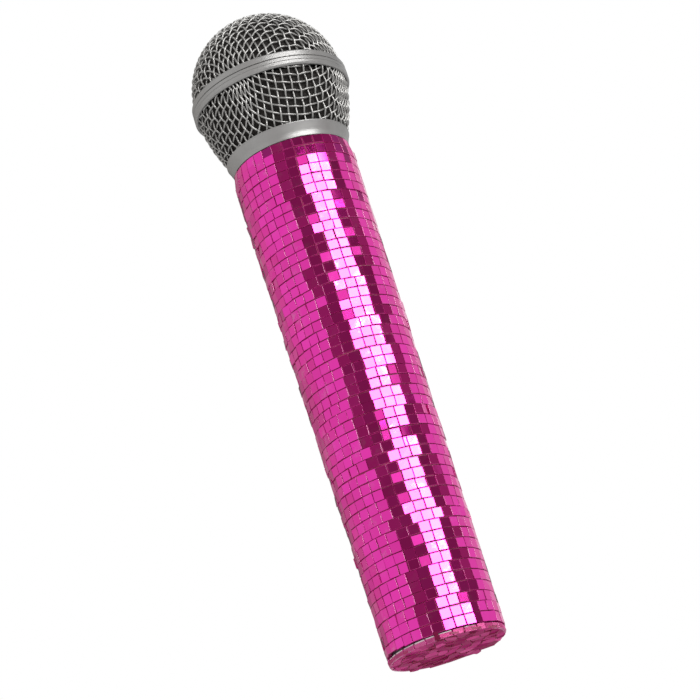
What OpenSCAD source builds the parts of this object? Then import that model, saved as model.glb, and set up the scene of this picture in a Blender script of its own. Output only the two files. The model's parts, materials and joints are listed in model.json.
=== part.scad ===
// Toy microphone with a ball grille and a mirror-tiled handle.
// The origin is at the centre of the flat end, and +Z runs along the axis to the head.

/* [Handle] */
// Radius over the mirror tiles at the flat end
tile_r_low = 18; // [17.8:0.1:18.4]
// Radius over the mirror tiles at the widest row, near the head
tile_r_high = 19.5; // [19.2:0.1:19.8]
// Length of the tiled side
tiled_len = 161; // [158:1:168]
// Rows of mirror tiles
tile_rows = 49; // [40:1:52]
// Mirror tiles in each row
tiles_per_row = 35; // [30:1:40]
// Thickness of the mirror tiles
tile_t = 1.3; // [1:0.1:1.4]
// Gap between rows of tiles
tile_gap = 0.18; // [0.1:0.02:0.4]
// Thickness of the grout bed under the tiles
bed_t = 0.4; // [0.3:0.05:0.5]
// Bore of the handle tube
bore_r = 14.5; // [14.4:0.1:14.6]

/* [Flat end] */
// Thickness of the mirror pieces on the flat end
end_glass_t = 1; // [0.8:0.1:1.4]
// Thickness of the plate that carries them
end_plate_t = 0.7; // [0.6:0.1:1]
// Gap between the plate and the lowest row of tiles
end_gap = 0.2; // [0.1:0.05:0.4]

/* [Head] */
// Radius of the collar at its lower edge
collar_r_low = 18.9; // [18.7:0.1:19.1]
// Radius of the collar at its upper edge
collar_r_high = 20.1; // [19.9:0.1:20.3]
// Height of the collar
collar_h = 4.7; // [4.5:0.1:5]
// Height of the woven bowl that shows
bowl_h = 16.8; // [16:0.1:17.5]
// Radius of the bowl half-way up
bowl_r_mid = 22.8; // [22.6:0.1:23]
// Radius of the bowl under the ring
bowl_r_top = 24.6; // [24.5:0.05:24.7]
// Radius of the equator ring
ring_r = 25.5; // [25.4:0.1:25.8]
// Height of the equator ring
ring_h = 5.1; // [4.9:0.1:5.5]
// Radius of the woven dome
dome_r = 24.5; // [24.4:0.05:24.6]
// Thickness of the weave, over two crossing wires
weave_t = 1; // [0.9:0.05:1.1]
// Pitch of the neck thread
thread_pitch = 1.5; // [1:0.25:2]

/* [Electronics] */
// Radius of the capsule
capsule_r = 12.2; // [11.8:0.1:12.4]
// Radius of an AA cell
cell_r = 7.1; // [7:0.05:7.2]
// Length of an AA cell without its button
cell_len = 49; // [48.5:0.1:49.5]
// Width of the circuit board
board_w = 20; // [18:0.5:20]
// Travel of the power switch
switch_travel = 2.5; // [2:0.1:3]

/* [Hidden] */
$fn = 96;
eps = 0.01;

// Heights of the handle, from the flat end upwards
plate_z1 = end_glass_t + end_plate_t;
row_z0 = plate_z1 + end_gap;
row_pitch = tiled_len / tile_rows;
handle_top = row_z0 + tiled_len;
tuck_z = handle_top - 4.5;
row_turns = rands(0, 360 / tiles_per_row, tile_rows, 7);

// The tube ends under the neck's flange, and the washer lies on the flange
washer_t = 0.8;
flange_t = 2;
flange_r = 16.6;
flange_top = handle_top - washer_t;
tube_top = flange_top - flange_t;
spigot_len = 16;
spigot_z0 = tube_top - spigot_len;

// Neck thread, drawn as the plain cylinder of its running fit
thread_r = 13.97;
thread_clearance = 0.08;
neck_top = handle_top + 7.5;
neck_bore_r = 10;

// Heights of the head
collar_top = handle_top + collar_h;
ring_z0 = collar_top + bowl_h;
ring_top = ring_z0 + ring_h;
dome_z = ring_top + 0.1;
lip_t = 0.5;
tuck_in = 1.25;
bowl_r_low = collar_r_high - lip_t;
dome_band_h = 2.1;
band_gap = 0.2;

// Capsule, standing on the neck
mount_r = 13.4;
mount_h = 12;
mount_floor = 2;
capsule_z0 = neck_top + mount_floor;
capsule_h = 13;
capsule_wall = 0.8;
yoke_r = 10.4;
pole_r = 7.2;

// Transmitter tray, standing on the end plug
plug_r = bore_r - 0.1;
plug_top = 12;
groove_z = 7;
cord_r = 0.8;
tray_r = bore_r - 0.3;
bulkhead_t = 2.5;
bay_z0 = plug_top + bulkhead_t;
spring_h = 6.4;
button_h = 1.5;
contact_t = 0.5;
cell_y = 5;
lower_cell_z = bay_z0 + contact_t + spring_h;
upper_cell_z = lower_cell_z + cell_len + button_h;
bay_z1 = upper_cell_z + cell_len + button_h + contact_t;
tray_top = bay_z1 + bulkhead_t;
trough_r = cell_r + 0.3;
wall_x = trough_r + 1.6;
tray_back_y = -4.2;
boss_h = 1;
boss_r = 2.4;
boss_hole = 1.2;
board_y = tray_back_y - boss_h;
board_t = 1.6;
board_face_y = board_y - board_t;
board_z0 = 30;
board_z1 = tray_top + 4;
board_screw_z = [board_z0 + 20, board_z1 - 24];
pin_y = board_face_y - 1.3;
pin_step = 2.54;
pin_r = 0.32;
socket_z0 = board_z1 + 4;
neck_board_z0 = spigot_z0 - 1.6;
switch_z = 38;
switch_w = 4.4;
switch_len = 9;
screw_r = 0.9;
screw_head_r = 1.7;

// Outer radius of the tile rows at height z
function tiled_r(z) =
    z < tuck_z
        ? tile_r_low + (tile_r_high - tile_r_low) * (z - row_z0) / (tuck_z - row_z0)
        : tile_r_high + (collar_r_low - tile_r_high) * (z - tuck_z) / (handle_top - tuck_z);

// Outer radius of the bowl, from t = 0 at the collar to t = 1 at the ring
function bowl_r(t) =
    bowl_r_low * (1 - t) * (1 - 2 * t) + 4 * bowl_r_mid * t * (1 - t) + bowl_r_top * t * (2 * t - 1);

// Tube swept along points: each ring has its centre, its tangent's normals and the wire's radius
module sweep(path, wire_r, sides, up) {
    last = len(path) - 1;
    points = [
        for (i = [0:last])
            let (
                t = path[min(i + 1, last)] - path[max(i - 1, 0)],
                u = cross(up, t) / norm(cross(up, t)),
                v = cross(t, u) / norm(cross(t, u))
            )
            for (k = [0:sides - 1])
                path[i] + wire_r * (cos(360 * k / sides) * u + sin(360 * k / sides) * v)
    ];
    walls = [
        for (i = [0:last - 1])
            for (k = [0:sides - 1])
                let (a = i * sides + k, b = i * sides + (k + 1) % sides)
                [a, a + sides, b + sides, b]
    ];
    start_cap = [for (k = [0:sides - 1]) k];
    end_cap = [for (k = [0:sides - 1]) last * sides + sides - 1 - k];
    polyhedron(points, concat([start_cap], walls, [end_cap]), convexity = 8);
}

// Path of a coil about +Z
function coil_path(r, height, turns, steps) = [
    for (i = [0:turns * steps])
        let (a = 360 * i / steps)
        [r * cos(a), r * sin(a), height * i / (turns * steps)]
];

// Shell of the handle between two depths under the tiles' outer surface
module handle_shell(outer_depth, inner_depth, top) {
    rotate_extrude()
        polygon([
            [tiled_r(row_z0) - outer_depth, row_z0],
            [tiled_r(tuck_z) - outer_depth, tuck_z],
            [tiled_r(top) - outer_depth, top],
            [tiled_r(top) - inner_depth, top],
            [tiled_r(tuck_z) - inner_depth, tuck_z],
            [tiled_r(row_z0) - inner_depth, row_z0]
        ]);
}

module handle_tube() {
    depth = tile_t + bed_t;
    color("dimgray")
        rotate_extrude()
            polygon([
                [bore_r, row_z0],
                [tiled_r(row_z0) - depth, row_z0],
                [tiled_r(tuck_z) - depth, tuck_z],
                [tiled_r(tube_top) - depth, tube_top],
                [bore_r, tube_top]
            ]);
}

module grout_bed() {
    color("maroon")
        handle_shell(tile_t, tile_t + bed_t, handle_top - 0.3);
}

// One ring of flat tiles
module tile_row(i) {
    z = row_z0 + i * row_pitch;
    z1 = z + row_pitch - tile_gap;
    widest = z < tuck_z && tuck_z < z1 ? tile_r_high : max(tiled_r(z), tiled_r(z1));
    inner_r = widest - tile_t;
    corner_r = tiled_r((z + z1) / 2) / cos(180 / tiles_per_row);
    translate([0, 0, z])
        linear_extrude(z1 - z)
            difference() {
                polygon([
                    for (k = [0:tiles_per_row - 1])
                        let (a = row_turns[i] + 360 * k / tiles_per_row)
                        corner_r * [cos(a), sin(a)]
                ]);
                circle(inner_r + eps);
            }
}

module side_mirror_tiles() {
    color("deeppink")
        for (i = [0:tile_rows - 1])
            tile_row(i);
}

module neck() {
    color("darkslategray")
        difference() {
            union() {
                translate([0, 0, spigot_z0])
                    cylinder(h = tube_top - spigot_z0, r = bore_r - eps);
                translate([0, 0, tube_top])
                    cylinder(h = flange_t, r = flange_r);
                translate([0, 0, tube_top])
                    cylinder(h = neck_top - tube_top, r = thread_r);
            }
            translate([0, 0, spigot_z0 + 3])
                cylinder(h = neck_top - spigot_z0, r = neck_bore_r);
            translate([0, 0, spigot_z0 - 1])
                cylinder(h = 6, r = 6);
            for (x = [-9, 9])
                translate([x, 0, spigot_z0 - 1])
                    cylinder(h = 3.2, r = screw_r, $fn = 24);
        }
}

module neck_board() {
    color("darkgreen")
        difference() {
            translate([0, 0, neck_board_z0])
                cylinder(h = board_t, r = bore_r - 0.4);
            for (x = [-9, 9])
                translate([x, 0, neck_board_z0 - 1])
                    cylinder(h = 4, r = screw_r + 0.1, $fn = 24);
        }
}

// Three-way socket under the neck board, where the tray's pins go in
module neck_socket() {
    color("black")
        difference() {
            translate([-4.5, pin_y - 1.5, socket_z0])
                cube([9, 3, neck_board_z0 - socket_z0]);
            for (k = [-1:1])
                translate([k * pin_step, pin_y, socket_z0 - 1])
                    cylinder(h = 7, r = pin_r + 0.15, $fn = 24);
        }
}

// Pan-head screw along +Z, with its head's top at the origin and its thread pointing down
module screw(length) {
    translate([0, 0, -1])
        difference() {
            cylinder(h = 1, r = screw_head_r, $fn = 32);
            translate([-screw_head_r, -0.2, 0.5])
                cube([2 * screw_head_r, 0.4, 1]);
        }
    translate([0, 0, -1 - length])
        cylinder(h = length + eps, r = screw_r - 0.05, $fn = 32);
}

module neck_board_screws() {
    color("silver")
        for (x = [-9, 9])
            translate([x, 0, neck_board_z0 - 1])
                rotate([180, 0, 0])
                    screw(board_t + 2);
}

module capsule_mount() {
    color("black")
        translate([0, 0, neck_top])
            difference() {
                cylinder(h = mount_h, r = mount_r);
                translate([0, 0, mount_floor])
                    cylinder(h = mount_h, r = capsule_r);
                translate([0, 0, -1])
                    cylinder(h = mount_h, r = neck_bore_r - 1);
            }
}

module capsule_housing() {
    color("silver")
        translate([0, 0, capsule_z0])
            difference() {
                cylinder(h = capsule_h, r = capsule_r - eps);
                translate([0, 0, capsule_wall])
                    cylinder(h = capsule_h, r = capsule_r - capsule_wall);
                for (x = [-4, 4])
                    translate([x, 0, -1])
                        cylinder(h = 3, r = 0.9, $fn = 24);
            }
}

module capsule_yoke() {
    color("gray")
        translate([0, 0, capsule_z0 + capsule_wall])
            difference() {
                cylinder(h = 8, r = yoke_r);
                translate([0, 0, 1.4])
                    cylinder(h = 8, r = yoke_r - 1.3);
            }
}

module capsule_magnet() {
    color("darkgray")
        translate([0, 0, capsule_z0 + capsule_wall + 1.4])
            cylinder(h = 5, r = pole_r - 0.4);
}

module capsule_pole() {
    color("lightgray")
        translate([0, 0, capsule_z0 + capsule_wall + 6.4])
            cylinder(h = 1.6, r = pole_r);
}

module voice_coil() {
    color("chocolate")
        translate([0, 0, capsule_z0 + 6.5])
            difference() {
                cylinder(h = 4.2, r = pole_r + 1.2);
                translate([0, 0, -1])
                    cylinder(h = 7, r = pole_r + 0.6);
            }
}

// Thin film: a flat rim, a half-round roll and a shallow centre dome
module diaphragm() {
    film = 0.15;
    coil_r = pole_r + 1.2;
    rim_r = capsule_r - capsule_wall - 0.1;
    color("gold")
        translate([0, 0, capsule_z0 + 10.7])
            rotate_extrude()
                polygon([
                    [0, 1.2],
                    [coil_r / 2, 0.9],
                    [coil_r, 0],
                    [rim_r, 0],
                    [rim_r, film],
                    [coil_r + film, film],
                    [coil_r / 2, 0.9 + film],
                    [0, 1.2 + film]
                ]);
}

// Front cap of the capsule, with a ring of sound holes round a central one
module capsule_cap() {
    color("dimgray")
        translate([0, 0, capsule_z0 + 10.9])
            difference() {
                union() {
                    difference() {
                        cylinder(h = capsule_h - 10.9, r = capsule_r - capsule_wall - 0.05);
                        translate([0, 0, -1])
                            cylinder(h = capsule_h, r = capsule_r - capsule_wall - 1);
                    }
                    translate([0, 0, capsule_h - 10.9])
                        cylinder(h = 1, r = capsule_r - eps);
                }
                cylinder(h = 9, r = 1.2, $fn = 24);
                for (k = [0:7])
                    rotate([0, 0, 45 * k])
                        translate([6, 0, 0])
                            cylinder(h = 9, r = 1.2, $fn = 24);
            }
}

// Two leads from the capsule's terminals down to the neck board
module capsule_leads() {
    z0 = neck_board_z0 + board_t + 0.1;
    z1 = capsule_z0 + 0.5;
    steps = 14;
    for (side = [-1, 1])
        color(side < 0 ? "red" : "white")
            sweep(
                [
                    for (i = [0:steps])
                        let (a = 180 * i / steps)
                        [side * (3.5 - 0.5 * cos(a)), 1.5 * sin(a), z0 + (z1 - z0) * i / steps]
                ],
                0.5,
                10,
                [1, 0, 0]
            );
}

module collar_washer() {
    color("black")
        translate([0, 0, flange_top])
            difference() {
                cylinder(h = washer_t - 0.02, r = flange_r);
                translate([0, 0, -1])
                    cylinder(h = 3, r = thread_r + 0.15);
            }
}

// Upright foot that turns softly into a flare, a narrow lip on top, a seat for the
// bowl's edge, and the threaded sleeve that goes over the neck
module collar() {
    sleeve_r = thread_r + 2;
    thread_wall_r = thread_r + thread_clearance;
    seat_z = collar_top - tuck_in;
    seat_r = bowl_r_low - 0.35;
    lip_h = 0.45;
    lip_step = 0.12;
    flare = collar_r_high - lip_step - collar_r_low;
    flare_h = collar_h - lip_h;
    foot = 0.1;
    bend = 0.4;
    slope = flare / (1 - foot - bend / 2);
    color("silver")
        difference() {
            rotate_extrude()
                polygon(concat(
                    [[thread_wall_r - 1, handle_top]],
                    [
                        for (i = [0:10])
                            let (
                                t = i / 10,
                                turned = min(max(t - foot, 0), bend),
                                straight = max(t - foot - bend, 0),
                                out = slope * (turned * turned / bend / 2 + straight)
                            )
                            [collar_r_low + out, handle_top + flare_h * t]
                    ],
                    [
                        [collar_r_high, collar_top - lip_h + lip_step],
                        [collar_r_high, collar_top - 0.1],
                        [collar_r_high - 0.1, collar_top],
                        [bowl_r_low + 0.05, collar_top],
                        [seat_r + 0.05, seat_z],
                        [sleeve_r, seat_z],
                        [sleeve_r, neck_top],
                        [thread_wall_r - 1, neck_top]
                    ]
                ));
            translate([0, 0, handle_top - 1])
                cylinder(h = neck_top - handle_top + 2, r = thread_wall_r);
        }
}

// Profile points of the bowl, with its lower edge tucked into the collar
function bowl_profile(depth) = concat(
    [[bowl_r_low - 0.35 - depth, collar_top - tuck_in + eps]],
    [for (i = [0:8]) [bowl_r(i / 8) - depth, collar_top + bowl_h * i / 8]],
    [[bowl_r_top - depth, ring_z0 + 1.4]]
);

function reversed(list) = [for (i = [len(list) - 1:-1:0]) list[i]];

module bowl_grille() {
    color("darkgray")
        rotate_extrude()
            polygon(concat(bowl_profile(0), reversed(bowl_profile(weave_t))));
}

// Dome with a short straight skirt inside its band
module dome_grille() {
    skirt = 2.2;
    color("darkgray")
        difference() {
            union() {
                translate([0, 0, dome_z])
                    sphere(dome_r);
                translate([0, 0, dome_z - skirt])
                    cylinder(h = skirt, r = dome_r);
            }
            translate([0, 0, dome_z])
                sphere(dome_r - weave_t);
            translate([0, 0, dome_z - dome_r - skirt])
                cylinder(h = dome_r + skirt, r = dome_r - weave_t);
            translate([0, 0, dome_z - skirt - 2 * dome_r])
                cylinder(h = 2 * dome_r, r = 2 * dome_r);
        }
}

// Lower part of the equator ring, with a fine groove round it
module bowl_band() {
    z1 = ring_top - dome_band_h - band_gap;
    groove_z = z1 - 1.2;
    inner_r = bowl_r_top + 0.05;
    color("silver")
        rotate_extrude()
            polygon([
                [inner_r, ring_z0],
                [ring_r - 0.35, ring_z0],
                [ring_r, ring_z0 + 0.5],
                [ring_r, groove_z - 0.12],
                [ring_r - 0.12, groove_z],
                [ring_r, groove_z + 0.12],
                [ring_r, z1 - 0.1],
                [ring_r - 0.15, z1],
                [inner_r, z1]
            ]);
}

// Upper lip of the equator ring, which holds the dome's edge
module dome_band() {
    z0 = ring_top - dome_band_h;
    inner_r = dome_r + 0.05;
    color("silver")
        rotate_extrude()
            polygon([
                [inner_r, z0],
                [ring_r - 0.2, z0],
                [ring_r - 0.05, z0 + 0.1],
                [ring_r - 0.05, ring_top - 0.5],
                [ring_r - 0.2, ring_top - 0.2],
                [ring_r - 0.55, ring_top],
                [inner_r, ring_top]
            ]);
}

// Inner ring that joins the two halves of the head
module ring_liner() {
    color("dimgray")
        translate([0, 0, ring_z0 + 0.5])
            difference() {
                cylinder(h = ring_h - 1, r = dome_r - weave_t - 0.1);
                translate([0, 0, -1])
                    cylinder(h = ring_h + 2, r = dome_r - weave_t - 0.7);
            }
}

module bowl_foam() {
    depth = weave_t + 0.1;
    top_z = ring_z0 + 0.3;
    inner_r = thread_r + 2.15;
    color([0.08, 0.08, 0.08])
        rotate_extrude()
            polygon(concat(
                [for (i = [0:8]) [bowl_r(i / 8) - depth, collar_top + bowl_h * i / 8]],
                [[bowl_r_top - depth - 3.5, top_z], [inner_r, collar_top + 5], [inner_r, collar_top]]
            ));
}

module dome_foam() {
    foam_r = dome_r - weave_t - 0.1;
    foam_t = 3.5;
    color([0.08, 0.08, 0.08])
        translate([0, 0, dome_z])
            difference() {
                sphere(foam_r);
                sphere(foam_r - foam_t);
                translate([0, 0, -foam_r - 0.3])
                    cube(2 * foam_r + 2, center = true);
            }
}

module end_mirror_pieces() {
    color("palevioletred")
        cylinder(h = end_glass_t, r = tile_r_low);
}

module end_plate() {
    color("lightgray")
        translate([0, 0, end_glass_t])
            cylinder(h = end_plate_t, r = tile_r_low - 0.3);
}

module end_plug() {
    color("dimgray")
        translate([0, 0, plate_z1])
            difference() {
                cylinder(h = plug_top - plate_z1, r = plug_r);
                translate([0, 0, groove_z - plate_z1 - cord_r])
                    difference() {
                        cylinder(h = 2 * cord_r, r = bore_r + 1);
                        cylinder(h = 2 * cord_r, r = bore_r - 2 * cord_r - 0.05);
                    }
                for (x = [-11, 11])
                    translate([x, 0, plug_top - plate_z1 - 3])
                        cylinder(h = 4, r = screw_r, $fn = 24);
            }
}

module plug_o_ring() {
    color("black")
        translate([0, 0, groove_z])
            rotate_extrude()
                translate([bore_r - cord_r - 0.02, 0])
                    circle(cord_r - 0.01, $fn = 32);
}

// Disc that guides the tray in the bore, cut flat at the board
module bulkhead(z) {
    translate([0, 0, z])
        difference() {
            cylinder(h = bulkhead_t, r = tray_r);
            translate([-tray_r - 1, tray_back_y - 2 * tray_r, -1])
                cube([2 * tray_r + 2, 2 * tray_r, bulkhead_t + 2]);
        }
}

module transmitter_tray() {
    color("ivory")
        difference() {
            union() {
                bulkhead(plug_top);
                bulkhead(bay_z1);
                translate([-wall_x, tray_back_y, plug_top])
                    cube([2 * wall_x, cell_y + 3 - tray_back_y, tray_top - plug_top]);
                for (z = board_screw_z)
                    translate([0, tray_back_y + eps, z])
                        rotate([90, 0, 0])
                            cylinder(h = boss_h, r = boss_r, $fn = 48);
            }
            translate([0, cell_y, bay_z0])
                cylinder(h = bay_z1 - bay_z0, r = trough_r);
            translate([-trough_r, cell_y, bay_z0])
                cube([2 * trough_r, tray_r, bay_z1 - bay_z0]);
            for (x = [-11, 11])
                translate([x, 0, plug_top - 1])
                    cylinder(h = bulkhead_t + 2, r = screw_r + 0.1, $fn = 24);
            for (z = board_screw_z)
                translate([0, tray_back_y - boss_h - 1, z])
                    rotate([-90, 0, 0])
                        cylinder(h = boss_h + 1 + boss_hole, r = screw_r, $fn = 24);
        }
}

module tray_screws() {
    color("silver")
        for (x = [-11, 11])
            translate([x, 0, bay_z0 + 1])
                screw(bulkhead_t + 2.5);
}

// AA cell standing on its flat end, with its button on top
module cell(z, shade) {
    translate([0, cell_y, z]) {
        color(shade)
            cylinder(h = cell_len, r = cell_r);
        color("silver")
            translate([0, 0, cell_len - eps])
                cylinder(h = button_h, r = 2.6, $fn = 48);
    }
}

module lower_cell() {
    cell(lower_cell_z, "darkorange");
}

module upper_cell() {
    cell(upper_cell_z, "darkorange");
}

module cell_spring() {
    wire_r = 0.4;
    color("silver")
        translate([0, cell_y, bay_z0]) {
            translate([-5, -5, 0])
                cube([10, 10, contact_t]);
            translate([0, 0, contact_t + wire_r])
                sweep(coil_path(3.4, spring_h - 2 * wire_r - 0.05, 5, 20), wire_r, 8, [0, 0, 1]);
        }
}

module cell_contact() {
    color("gold")
        translate([-4, cell_y - 4, bay_z1 - contact_t])
            cube([8, 8, contact_t]);
}

module circuit_board() {
    color("darkgreen")
        difference() {
            translate([-board_w / 2, board_face_y, board_z0])
                cube([board_w, board_t, board_z1 - board_z0]);
            for (z = board_screw_z)
                translate([0, board_face_y - 1, z])
                    rotate([-90, 0, 0])
                        cylinder(h = 4, r = screw_r + 0.1, $fn = 24);
        }
}

module board_screws() {
    color("silver")
        for (z = board_screw_z)
            translate([0, board_face_y - 1, z])
                rotate([90, 0, 0])
                    screw(board_t + boss_h + boss_hole - 0.1);
}

module shield_can() {
    wall = 0.3;
    width = 16;
    height = 3;
    length = 14;
    color("silver")
        translate([-width / 2, board_face_y - height, board_z1 - length - 4])
            difference() {
                cube([width, height, length]);
                translate([wall, wall, wall])
                    cube([width - 2 * wall, height, length - 2 * wall]);
            }
}

// Flat chip with legs along both long sides
module audio_chip() {
    chip_z = 62;
    leg_pitch = 1.2;
    color("black")
        translate([-2, board_face_y - 1.7, chip_z])
            cube([4, 1.5, 10]);
    color("silver")
        for (side = [-1, 1])
            for (k = [0:7])
                translate([side * (2.5 - eps) - 0.5, board_face_y - 1, chip_z + 0.6 + leg_pitch * k])
                    cube([1, 1, 0.4]);
}

module capacitors() {
    color("navy")
        for (x = [-5.5, 5.5])
            translate([x, board_face_y, 80])
                rotate([90, 0, 0])
                    cylinder(h = 4, r = 2.5, $fn = 48);
}

module status_lamp() {
    color("lime")
        translate([7.5, board_face_y, switch_z])
            rotate([90, 0, 0]) {
                cylinder(h = 1, r = 1.5, $fn = 32);
                translate([0, 0, 1 - eps])
                    cylinder(h = 1, r = 1.1, $fn = 32);
            }
}

// Helical aerial at the board's lower end, on a straight tail
module antenna_coil() {
    wire_r = 0.35;
    coil_r = 2.2;
    coil_len = 12;
    tail_len = 2.5;
    coil_y = board_face_y - 0.3;
    tail_y = board_face_y + board_t / 2 - coil_y;
    color("goldenrod")
        translate([0, coil_y, board_z0 - coil_len - tail_len])
            sweep(
                concat(
                    coil_path(coil_r, coil_len, 8, 16),
                    [[coil_r, tail_y, coil_len + 1.1], [coil_r, tail_y, coil_len + tail_len - eps]]
                ),
                wire_r,
                8,
                [0.05, 0.02, 1]
            );
}

// Block with three pins that plug into the neck socket
module board_header() {
    color("black")
        translate([-4.5, board_face_y - 2.5, board_z1 - 3])
            cube([9, 2.5, 3]);
    color("gold")
        for (k = [-1:1])
            translate([k * pin_step, pin_y, board_z1 - eps])
                cylinder(h = 9, r = pin_r, $fn = 24);
}

// Slide switch, with a slot in its face for the knob
module switch_case() {
    color("gray")
        difference() {
            translate([-switch_w / 2, board_face_y - 3.5, switch_z - switch_len / 2])
                cube([switch_w, 3.5, switch_len]);
            translate([-1.1, board_face_y - 4, switch_z - switch_travel / 2 - 1.1])
                cube([2.2, 3, switch_travel + 2.2]);
        }
}

module switch_knob() {
    color("white")
        translate([-1, board_face_y - 5.2, switch_z - switch_travel / 2 - 1])
            cube([2, 4.1, 2]);
}

handle_tube();
grout_bed();
side_mirror_tiles();
neck();
neck_board();
neck_socket();
neck_board_screws();
capsule_mount();
capsule_housing();
capsule_yoke();
capsule_magnet();
capsule_pole();
voice_coil();
diaphragm();
capsule_cap();
capsule_leads();
collar_washer();
collar();
bowl_grille();
dome_grille();
bowl_band();
dome_band();
ring_liner();
bowl_foam();
dome_foam();
end_mirror_pieces();
end_plate();
end_plug();
plug_o_ring();
transmitter_tray();
tray_screws();
lower_cell();
upper_cell();
cell_spring();
cell_contact();
circuit_board();
board_screws();
shield_can();
audio_chip();
capacitors();
status_lamp();
antenna_coil();
board_header();
switch_case();
switch_knob();
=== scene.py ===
"""Looks of the toy microphone: woven wire head, satin ring and collar, pink mirror-tiled handle."""
import json
import math
import random

import bpy
import numpy as np
from mathutils import Matrix, Vector, noise


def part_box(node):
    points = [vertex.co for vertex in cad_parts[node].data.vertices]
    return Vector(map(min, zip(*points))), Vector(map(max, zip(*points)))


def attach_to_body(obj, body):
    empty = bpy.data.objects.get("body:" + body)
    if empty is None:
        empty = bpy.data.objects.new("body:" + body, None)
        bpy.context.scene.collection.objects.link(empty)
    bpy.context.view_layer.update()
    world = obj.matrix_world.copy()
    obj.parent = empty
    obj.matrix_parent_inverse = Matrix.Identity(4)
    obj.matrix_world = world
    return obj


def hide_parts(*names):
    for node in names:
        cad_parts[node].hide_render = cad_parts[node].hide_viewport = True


MM = 0.001
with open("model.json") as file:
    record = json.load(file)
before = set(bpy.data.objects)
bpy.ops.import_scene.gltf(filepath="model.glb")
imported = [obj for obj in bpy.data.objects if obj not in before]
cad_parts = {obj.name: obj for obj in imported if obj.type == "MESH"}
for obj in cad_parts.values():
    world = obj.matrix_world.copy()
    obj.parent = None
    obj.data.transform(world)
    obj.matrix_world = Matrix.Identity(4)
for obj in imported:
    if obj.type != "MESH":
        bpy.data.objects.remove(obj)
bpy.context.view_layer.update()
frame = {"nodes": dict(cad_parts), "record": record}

# Places read from the frame, in metres
END_LOW, END_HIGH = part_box("end_mirror_pieces")
END_R = END_HIGH.x
ROW_Z0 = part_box("side_mirror_tiles")[0].z
HANDLE_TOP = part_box("collar")[0].z
RING_Z0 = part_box("bowl_band")[0].z
RING_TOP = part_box("dome_band")[1].z
DOME_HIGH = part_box("dome_grille")[1]
DOME_R = DOME_HIGH.x
DOME_Z = DOME_HIGH.z - DOME_R

# Handle: angles are about Z, and -90 degrees is the camera's side
TILE_ROWS = 49
TILE_T = 1.3 * MM
TILE_W = 3.2 * MM
TILE_JOINT = 0.18 * MM          # upright joints
ROW_JOINT = 0.2 * MM
ROW_PITCH = (HANDLE_TOP - ROW_Z0) / TILE_ROWS
TUCK_LEN = 4.5 * MM             # the handle's short taper under the collar
HIGH_R = 19.5 * MM              # at the widest, where the taper starts
COLLAR_R = 18.9 * MM            # at the collar
GROUT_DEPTH = 0.42 * MM         # below the tiles' faces
FRONT_ANGLE = math.radians(-69)      # middle of the front, where the joints are widest

# Flat end
END_GAP_ANGLE = math.radians(-158)   # where the first row leaves a wedge of shadow
NOTCH_ANGLE = math.radians(-96.5)    # where a sliver of the rim is missing
SHARD_GAP = 0.065 * MM          # half of the joint between two pieces

# Head
COLLAR_TOP = HANDLE_TOP + 4.7 * MM
BOWL_R_LOW = 19.6 * MM
BOWL_R_MID = 22.8 * MM
BOWL_R_TOP = 24.6 * MM
WEAVE_T = 1.0 * MM              # thickness of the woven layer
WIRE_R = 0.28 * MM
WIRE_SIDES = 8
WIRE_CRIMP = 0.33 * MM          # how far a wire swings to each side of the layer's middle
WIRE_PITCH = 2.54 * MM
WEAVE_AZIMUTH = math.radians(-65)

# Cells
COPPER_SHARE = 0.33             # how much of a cell's length its copper band takes

# Camera: it looks up at the object from in front, fitted to the photograph's perspective
CAM_DISTANCE = 718.8 * MM
CAM_ELEVATION = math.radians(19.27)
CAM_AIM_Z = ROW_Z0 + 95.9 * MM
CAM_SIDE = -0.58 * MM
CAM_ROLL = math.radians(17.8)
CAM_LENS = 120.8

# Studio, in metres
CARD_R = 1.3                    # radius of the ring of cards
FLOOR_Z = -0.9


# ---------- meshes ----------

def new_object(name, verts, faces, smooth=True):
    """A linked mesh object from plain vertices and faces."""
    mesh = bpy.data.meshes.new(name)
    mesh.from_pydata([tuple(v) for v in verts], [], faces)
    mesh.update()
    mesh.polygons.foreach_set("use_smooth", [smooth] * len(mesh.polygons))
    obj = bpy.data.objects.new(name, mesh)
    bpy.context.scene.collection.objects.link(obj)
    return obj


def revolve(profile, segments, wobble):
    """Turns a closed loop of (r, z) points about Z. wobble(point) moves each vertex along its normal."""
    profile = np.array(profile)
    n = len(profile)
    tangent = np.roll(profile, -1, 0) - np.roll(profile, 1, 0)
    tangent /= np.linalg.norm(tangent, axis=1)[:, None] + 1e-12
    verts = []
    for k in range(segments):
        a = 2 * math.pi * k / segments
        c, s = math.cos(a), math.sin(a)
        for (r, z), (tr, tz) in zip(profile, tangent):
            p = Vector((r * c, r * s, z))
            verts.append(p + Vector((tz * c, tz * s, -tr)) * wobble(p))
    faces = []
    for k in range(segments):
        for i in range(n):
            a, b = k * n + i, k * n + (i + 1) % n
            c, d = (k + 1) % segments * n + (i + 1) % n, (k + 1) % segments * n + i
            faces.append((a, d, c, b))
    return verts, faces


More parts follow.
